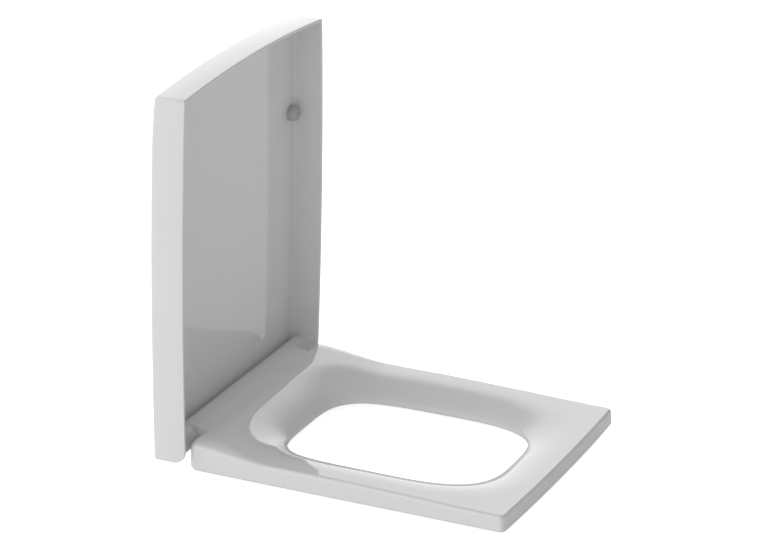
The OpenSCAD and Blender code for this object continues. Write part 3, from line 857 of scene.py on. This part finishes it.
@dataclass
class LidShell:
    """The wrap-over lid: a straight shell with rounded edges, bowed by a geometry tree."""

    axis_y: float = 36 * MM
    axis_z: float = 34 * MM
    half: float = 188 * MM
    length: float = 440 * MM
    tail: float = 16.6 * MM
    rim: float = -21 * MM
    back: float = 21.5 * MM
    wall: float = 4 * MM
    panel: float = 16.4 * MM
    side_bow: float = 6 * MM
    front_bow: float = 8.5 * MM
    crown_drop: float = 3 * MM
    crown_length: float = 75 * MM
    back_r: float = 3.4 * MM
    corner_r: float = 2.0 * MM
    rim_r: float = 1.1 * MM
    inner_r: float = 4.5 * MM
    boss_r: float = 15.5 * MM
    boss_face: float = 178 * MM
    boss_step: float = 0.4 * MM
    boss_bite: float = 1.5 * MM
    boss_sides: int = 72
    sharp_turn: float = 20.0
    tail_steps: int = 14
    length_cuts: int = 19
    crown_cuts: int = 11
    cross_cuts: int = 37
    front_margin: float = 6 * MM
    side_margin: float = 8 * MM

    def build(self, material: bpy.types.Material) -> bpy.types.Object:
        """Makes the lid.

        Args:
            material: Its finish.

        Returns:
            The finished piece.
        """
        made = mesh_piece("lid_body", self._straight_shell())
        bevel = made.modifiers.new("edges", "BEVEL")
        bevel.width = self.inner_r
        bevel.segments = 6
        bevel.limit_method = "WEIGHT"
        bevel.use_clamp_overlap = False
        settle(made)
        self._cut_stations(made.data)
        for side in Side:
            self._add_boss(made, side)
        nodes_modifier(made, self._bow_tree(material), {
            "Side bow": self.side_bow, "Front bow": self.front_bow, "Half width": self.half,
            "Back": self.back, "Length": self.length, "Tail": self.tail,
            "Crown drop": self.crown_drop, "Crown length": self.crown_length})
        settle(made)
        made.data.transform(Matrix.Translation((0.0, self.axis_y, self.axis_z)))
        smooth_by_angle(made.data, SHELL_ANGLE)
        dress(made, material)
        return made

    def _straight_shell(self) -> bpy.types.Mesh:
        """The shell before its edges are rounded and its outline bows."""
        inner = self.half - self.wall
        top = self.length - self.wall
        work = bmesh.new()
        corner: dict[tuple, bmesh.types.BMVert] = {}

        def at(x: float, y: float, z: float) -> bmesh.types.BMVert:
            """The vertex at a corner, made once."""
            if (x, y, z) not in corner:
                corner[x, y, z] = work.verts.new((x, y, z))
            return corner[x, y, z]

        w, r, b, p, low, high = self.half, self.rim, self.back, self.panel, -self.tail, self.length
        outlines = [
            [(-w, b, low), (w, b, low), (w, b, high), (-w, b, high)],
            [(-w, b, high), (w, b, high), (w, r, high), (-w, r, high)],
            [(-inner, p, low), (-inner, p, top), (inner, p, top), (inner, p, low)],
            [(-inner, p, top), (-inner, r, top), (inner, r, top), (inner, p, top)],
            [(-w, r, low), (-w, r, high), (w, r, high), (w, r, low),
             (inner, r, low), (inner, r, top), (-inner, r, top), (-inner, r, low)],
            [(-w, r, low), (-w, b, low), (w, b, low), (w, r, low),
             (inner, r, low), (inner, p, low), (-inner, p, low), (-inner, r, low)],
        ]
        for s in (-1, 1):
            wide, close = s * w, s * inner
            outlines.append([(wide, r, low), (wide, b, low), (wide, b, high), (wide, r, high)])
            outlines.append([(close, r, low), (close, p, low), (close, p, top), (close, r, top)])
        for outline in outlines:
            work.faces.new([at(*c) for c in outline])
        bmesh.ops.recalc_face_normals(work, faces=work.faces)
        tails = [e for e in work.edges if all(
            abs(v.co.y - r) < TINY and abs(v.co.z - low) < TINY for v in e.verts)]
        bmesh.ops.bevel(work, geom=tails, offset=self.tail, segments=self.tail_steps, profile=0.5,
                        affect="EDGES", clamp_overlap=False)
        self._weigh_edges(work)
        data = bpy.data.meshes.new("lid_body")
        work.to_mesh(data)
        work.free()
        return data

    def _weigh_edges(self, work: bmesh.types.BMesh) -> None:
        """Gives each edge the share of the widest rounding that it gets."""
        weight = work.edges.layers.float.new("bevel_weight_edge")
        inner = self.half - self.wall
        top = self.length - self.wall

        def on(edge: bmesh.types.BMEdge, axis: int, value: float) -> bool:
            """True if both ends of the edge have that coordinate."""
            return all(abs(abs(v.co[axis]) - abs(value)) < TINY if axis == 0
                       else abs(v.co[axis] - value) < TINY for v in edge.verts)

        for edge in work.edges:
            if len(edge.link_faces) != 2 or edge.calc_face_angle(0.0) < math.radians(self.sharp_turn):
                continue
            if on(edge, 1, self.back):
                radius = self.back_r
            elif on(edge, 1, self.panel):
                radius = self.inner_r if not on(edge, 2, -self.tail) else self.rim_r
            elif on(edge, 0, self.half) and on(edge, 2, self.length):
                radius = self.corner_r
            elif on(edge, 0, inner) and on(edge, 2, top):
                radius = self.corner_r
            else:
                radius = self.rim_r
            edge[weight] = radius / self.inner_r

    def _cut_stations(self, data: bpy.types.Mesh) -> None:
        """Cuts the flat faces across, so that they can bow."""
        work = bmesh.new()
        work.from_mesh(data)
        crown = self.length - self.crown_length
        heights = list(np.linspace(0.0, crown, self.length_cuts))
        heights += list(np.linspace(crown, self.length - self.front_margin, self.crown_cuts + 1)[1:])
        for z in heights:
            self._cut(work, (0.0, 0.0, z), (0.0, 0.0, 1.0))
        wide = self.half - self.side_margin
        for x in np.linspace(-wide, wide, self.cross_cuts):
            self._cut(work, (x, 0.0, 0.0), (1.0, 0.0, 0.0))
        work.to_mesh(data)
        work.free()

    @staticmethod
    def _cut(work: bmesh.types.BMesh, place: tuple, across: tuple) -> None:
        """Cuts the whole mesh along one plane."""
        everything = work.verts[:] + work.edges[:] + work.faces[:]
        bmesh.ops.bisect_plane(work, geom=everything, plane_co=place, plane_no=across, dist=TINY)

    def _add_boss(self, made: bpy.types.Object, side: Side) -> None:
        """Joins the round boss that the damper's shaft turns."""
        inner = self.half - self.wall
        depth = inner - self.boss_face + self.boss_bite
        radius = self.boss_r - self.boss_step
        work = bmesh.new()
        turn = Matrix.Rotation(math.pi / 2, 4, "Y")
        place = Matrix.Translation((side.value * (self.boss_face + depth / 2), 0.0, 0.0))
        bmesh.ops.create_cone(work, cap_ends=True, segments=self.boss_sides, radius1=radius,
                              radius2=radius, depth=depth, matrix=place @ turn)
        data = bpy.data.meshes.new("boss")
        work.to_mesh(data)
        work.free()
        boss = mesh_piece("boss", data)
        union = made.modifiers.new("boss", "BOOLEAN")
        union.operation = "UNION"
        union.solver = "EXACT"
        union.object = boss
        settle(made)
        bpy.data.objects.remove(boss)

    def _bow_tree(self, material: bpy.types.Material) -> bpy.types.NodeTree:
        """The tree that bows the sides and the front edge and drops the back's far end."""
        graph, into, out = new_group("bowed_lid", "GeometryNodeTree", [
            ("Geometry", GEOMETRY, None), ("Side bow", FLOAT, 0.003), ("Front bow", FLOAT, 0.008),
            ("Half width", FLOAT, 0.188), ("Length", FLOAT, 0.44), ("Tail", FLOAT, 0.0166),
            ("Back", FLOAT, 0.0215),
            ("Crown drop", FLOAT, 0.003), ("Crown length", FLOAT, 0.075),
        ], [("Geometry", GEOMETRY)])
        size = {s.name: Value(graph, s) for s in into.outputs if s.name}
        x, y, z = graph.split(graph.node("GeometryNodeInputPosition").outputs[0])
        across = x / size["Half width"]
        along = (z * 2.0 - size["Length"] + size["Tail"]) / (size["Length"] + size["Tail"])
        new_x = x + across * size["Side bow"] * (1.0 - along.squared())
        share = (z + size["Tail"]) / (size["Length"] + size["Tail"])
        new_z = z + share * size["Front bow"] * (1.0 - across.squared())
        near = ((z - size["Length"] + size["Crown length"]) / size["Crown length"]).clamped()
        outer = (y / size["Back"]).clamped()
        new_y = y - outer * size["Crown drop"] * near.squared()
        moved = graph.node("ShaderNodeCombineXYZ", {0: new_x, 1: new_y, 2: new_z})
        bowed = graph.node("GeometryNodeSetPosition", {
            "Geometry": into.outputs["Geometry"], "Position": moved.outputs[0]})
        real = graph.node("GeometryNodeRealizeInstances", {0: bowed.outputs[0]})
        dressed = graph.node("GeometryNodeSetMaterial", {
            "Geometry": real.outputs[0], "Material": material})
        graph.feed(out.inputs[0], dressed.outputs[0])
        return graph.tree


# ---------------------------------------------------------------------------
# Small pieces
# ---------------------------------------------------------------------------

def refined(node: str, name: str, bevel_mm: float, segments: int = 3) -> bpy.types.Object:
    """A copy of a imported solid, joined up and with its edges rounded.

    Args:
        node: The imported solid.
        name: The new piece's name.
        bevel_mm: Width of the rounding.
        segments: Steps across the rounding.

    Returns:
        The new piece, as a plain mesh.
    """
    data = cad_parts[node].data.copy()
    data.name = name
    work = bmesh.new()
    work.from_mesh(data)
    bmesh.ops.remove_doubles(work, verts=work.verts, dist=TINY)
    bmesh.ops.dissolve_limit(work, angle_limit=math.radians(0.5), verts=work.verts, edges=work.edges)
    work.to_mesh(data)
    work.free()
    made = mesh_piece(name, data)
    bevel = made.modifiers.new("edges", "BEVEL")
    bevel.width = bevel_mm * MM
    bevel.segments = segments
    bevel.limit_method = "ANGLE"
    bevel.angle_limit = math.radians(40)
    bevel.harden_normals = False
    settle(made)
    smooth_by_angle(made.data, SMALL_ANGLE)
    return made


@dataclass(frozen=True)
class SmallPart:
    """A small piece: the solid it stands for, its body, slot, finish and edge rounding."""

    node: str
    body: str
    slot: str
    finish: Finish
    bevel_mm: float


SMALL_PARTS = (
    SmallPart("lid_bumper", "lid", "bumper_rubber", BUMPER, 0.8),
    SmallPart("seat_buffer_front", "ring", "buffer_rubber", BUFFER, 0.6),
    SmallPart("seat_buffer_rear", "ring", "buffer_rubber", BUFFER, 0.6),
    SmallPart("hinge_post", "base", "cast_zinc", ZINC, 0.8),
    SmallPart("post_rosette", "base", "chrome_trim", CHROME, 0.9),
    SmallPart("post_gasket", "base", "gasket_rubber", GASKET, 0.3),
    SmallPart("post_bush", "base", "bush_nylon", NYLON, 0.2),
    SmallPart("hinge_pin", "ring", "pin_steel", STEEL, 0.5),
    SmallPart("hinge_barrel", "ring", "barrel_plastic", BARREL, 0.6),
    SmallPart("lid_damper", "ring", "damper_plastic", DAMPER, 0.4),
    SmallPart("damper_shaft", "lid", "pin_steel", STEEL, 0.3),
    SmallPart("lid_bush", "lid", "bush_nylon", NYLON, 0.3),
)


@dataclass
class GripRings:
    """Low moulded rings on a bumper's face, spread evenly by a geometry tree."""

    count: int = 4
    first: float = 2.2 * MM
    step: float = 1.7 * MM
    round: float = 0.3 * MM
    sunk: float = 0.12 * MM

    def build(self, node: str, material: bpy.types.Material, tree: bpy.types.NodeTree) -> bpy.types.Object:
        """Makes the rings of one bumper.

        Args:
            node: The bumper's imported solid, whose face looks along -Y.
            material: Their finish.
            tree: The tree from `rings_tree`.

        Returns:
            The finished piece.
        """
        corners = np.array([v.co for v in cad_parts[node].data.vertices])
        low, high = corners.min(axis=0), corners.max(axis=0)
        middle = (low + high) / 2
        made = mesh_piece(f"{node}_rings", bpy.data.meshes.new(f"{node}_rings"))
        nodes_modifier(made, tree, {
            "Count": self.count, "First radius": self.first, "Step": self.step, "Round": self.round})
        settle(made)
        place_at = Matrix.Translation((middle[0], low[1] + self.sunk, middle[2]))
        made.data.transform(place_at @ Matrix.Rotation(math.pi / 2, 4, "X"))
        smooth_by_angle(made.data, TUBE_ANGLE)
        dress(made, material)
        return made


def rings_tree(material: bpy.types.Material) -> bpy.types.NodeTree:
    """The tree that makes evenly spaced rings about a middle, each a thin round bar."""
    graph, into, out = new_group("grip_rings", "GeometryNodeTree", [
        ("Count", "NodeSocketInt", 4), ("First radius", FLOAT, 0.0022),
        ("Step", FLOAT, 0.0017), ("Round", FLOAT, 0.0003),
    ], [("Geometry", GEOMETRY)])
    size = {s.name: Value(graph, s) for s in into.outputs if s.name}
    index = Value(graph, graph.node("GeometryNodeInputIndex").outputs[0])
    radius = size["First radius"] + index * size["Step"]
    scale = graph.node("ShaderNodeCombineXYZ", {0: radius, 1: radius, 2: 1.0})
    spots = graph.node("GeometryNodePoints", {"Count": into.outputs["Count"]})
    circle = graph.node("GeometryNodeCurvePrimitiveCircle", {"Resolution": 72, "Radius": 1.0})
    spread = graph.node("GeometryNodeInstanceOnPoints", {
        "Points": spots.outputs[0], "Instance": circle.outputs[0], "Scale": scale.outputs[0]})
    rounds = graph.node("GeometryNodeRealizeInstances", {0: spread.outputs[0]})
    profile = graph.node("GeometryNodeCurvePrimitiveCircle", {"Resolution": 10, "Radius": size["Round"]})
    bars = graph.node("GeometryNodeCurveToMesh", {
        "Curve": rounds.outputs[0], "Profile Curve": profile.outputs[0]})
    real = graph.node("GeometryNodeRealizeInstances", {0: bars.outputs[0]})
    dressed = graph.node("GeometryNodeSetMaterial", {"Geometry": real.outputs[0], "Material": material})
    graph.feed(out.inputs[0], dressed.outputs[0])
    return graph.tree


# ---------------------------------------------------------------------------
# The stage
# ---------------------------------------------------------------------------

@dataclass
class Studio:
    """The pale floor, the soft lights and the camera."""

    eye: tuple[float, float, float] = (-3.530, -1.699, 1.6936)
    yaw: float = 23.621
    pitch: float = -20.807
    roll: float = 0.020
    lens: float = 161.35
    floor_white: float = 0.75
    floor_glow: float = 0.12
    tent_bright: float = 1.3
    tent_dim: float = 0.29
    tent_top: float = 0.2
    left_power: float = 10.8
    softbox: tuple[float, float, float] = (-4.0, -0.4, 1.1)
    softbox_size: tuple[float, float] = (2.4, 1.8)
    behind: tuple[float, float] = (-0.34, -0.02)
    overhead: tuple[float, float] = (0.52, 0.74)
    aim: tuple[float, float, float] = (0.0, -0.15, 0.2)
    floor_half: float = 30.0
    floor_grey: float = 0.84
    tent_colour: Colour = (0.985, 0.99, 1.0)
    nearest: float = 0.1
    farthest: float = 60.0

    def build(self) -> None:
        """Puts everything in the scene."""
        bpy.context.scene.view_settings.view_transform = "Standard"
        self._floor()
        self._lights()
        self._camera()

    def _floor(self) -> None:
        """A wide pale floor under the seat."""
        data = bpy.data.meshes.new("studio_floor")
        size = self.floor_half
        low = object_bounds()[0].z
        data.from_pydata([(-size, -size, low), (size, -size, low), (size, size, low), (-size, size, low)],
                         [], [(0, 1, 2, 3)])
        floor = mesh_piece("studio_floor", data)
        material = bpy.data.materials.new("pale_floor")
        material.use_nodes = True
        material.node_tree.nodes.clear()
        graph = Graph(material.node_tree)
        to_eye = Value(graph, graph.node("ShaderNodeLightPath").outputs["Is Camera Ray"])
        glow = to_eye * self.floor_white + (1.0 - to_eye) * self.floor_glow
        shader = graph.node("ShaderNodeBsdfPrincipled", {
            "Base Color": (*[self.floor_grey] * 3, 1.0), "Roughness": 0.9, "Specular IOR Level": 0.1,
            "Emission Color": (1.0, 1.0, 1.0, 1.0), "Emission Strength": glow})
        graph.node("ShaderNodeOutputMaterial", {"Surface": shader.outputs["BSDF"]})
        dress(floor, material)
        floor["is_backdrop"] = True

    def _lights(self) -> None:
        """A pale tent, bright low down behind the seat, and one soft light from the left."""
        world = bpy.data.worlds.new("studio_tent")
        bpy.context.scene.world = world
        world.use_nodes = True
        world.node_tree.nodes.clear()
        graph = Graph(world.node_tree)
        _, back, up = graph.split(graph.node("ShaderNodeTexCoord").outputs["Generated"])
        behind = self._step(graph, back, *self.behind)
        low_down = 1.0 - self._step(graph, up, *self.overhead)
        glow = behind * low_down * self.tent_bright + self.tent_dim + (1.0 - low_down) * self.tent_top
        shader = graph.node("ShaderNodeBackground", {"Color": (*self.tent_colour, 1.0), "Strength": glow})
        graph.node("ShaderNodeOutputWorld", {"Surface": shader.outputs[0]})
        data = bpy.data.lights.new("left_softbox", "AREA")
        data.shape = "RECTANGLE"
        data.size, data.size_y = self.softbox_size
        data.energy = self.left_power
        light = bpy.data.objects.new("left_softbox", data)
        light.location = self.softbox
        ahead = Vector(self.aim) - light.location
        light.rotation_euler = ahead.to_track_quat("-Z", "Y").to_euler()
        bpy.context.scene.collection.objects.link(light)

    @staticmethod
    def _step(graph: Graph, value: Value, start: float, stop: float) -> Value:
        """0 before the start, 1 after the stop, smooth between."""
        made = graph.node("ShaderNodeMapRange", {
            "Value": value, "From Min": start, "From Max": stop}, interpolation_type="SMOOTHSTEP")
        return Value(graph, made.outputs[0])

    def _camera(self) -> None:
        """The camera, at the angle that the seat is seen from."""
        data = bpy.data.cameras.new("camera")
        data.sensor_width = 36.0
        data.lens = self.lens
        data.clip_start, data.clip_end = self.nearest, self.farthest
        camera = bpy.data.objects.new("camera", data)
        yaw, pitch = math.radians(self.yaw), math.radians(self.pitch)
        ahead = Vector((math.cos(yaw) * math.cos(pitch), math.sin(yaw) * math.cos(pitch), math.sin(pitch)))
        right = ahead.cross(Vector((0.0, 0.0, 1.0))).normalized()
        up = right.cross(ahead)
        c, s = math.cos(self.roll), math.sin(self.roll)
        turned_right, turned_up = c * right + s * up, c * up - s * right
        turn = Matrix((turned_right, turned_up, -ahead)).transposed()
        camera.matrix_world = Matrix.Translation(self.eye) @ turn.to_4x4()
        bpy.context.scene.collection.objects.link(camera)
        bpy.context.scene.camera = camera


# ---------------------------------------------------------------------------
# Everything together
# ---------------------------------------------------------------------------

def place(made: bpy.types.Object, body: str, slot: str, *nodes: str) -> None:
    """Rides a piece on a body and hides the solids that it stands for."""
    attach(made, body)
    if nodes:
        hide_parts(*nodes)
    faces = len(made.data.polygons)
    log.info("%s rides on %s: %d faces", made.name, body, faces)


def build_small_parts(effects: Effects) -> None:
    """Makes the bumpers, buffers and hinge pieces, one of each for both sides."""
    materials: dict[str, bpy.types.Material] = {}
    for part in SMALL_PARTS:
        if part.finish.name not in materials:
            materials[part.finish.name] = part.finish.material(effects)
        for side in Side:
            node = f"{part.node}_{side.word}"
            made = refined(node, f"{node}_piece", part.bevel_mm)
            dress(made, materials[part.finish.name])
            place(made, part.body, part.slot, node)
    rubber = materials[BUMPER.name]
    tree = rings_tree(rubber)
    for side in Side:
        place(GripRings().build(f"lid_bumper_{side.word}", rubber, tree), "lid", "bumper_rubber")
    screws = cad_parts["barrel_screws"]
    dress(screws, materials[STEEL.name])


def main() -> None:
    """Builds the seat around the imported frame."""
    logging.basicConfig(level=logging.INFO, format="%(name)s: %(message)s")
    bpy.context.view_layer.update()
    effects = Effects()
    gloss = DUROPLAST.material(effects)
    place(SeatRing().build(gloss), "ring", "duroplast_white", "seat_ring")
    place(LidShell().build(gloss), "lid", "duroplast_white", "lid_shell")
    build_small_parts(effects)
    Studio().build()


if __name__ == "__main__":
    main()
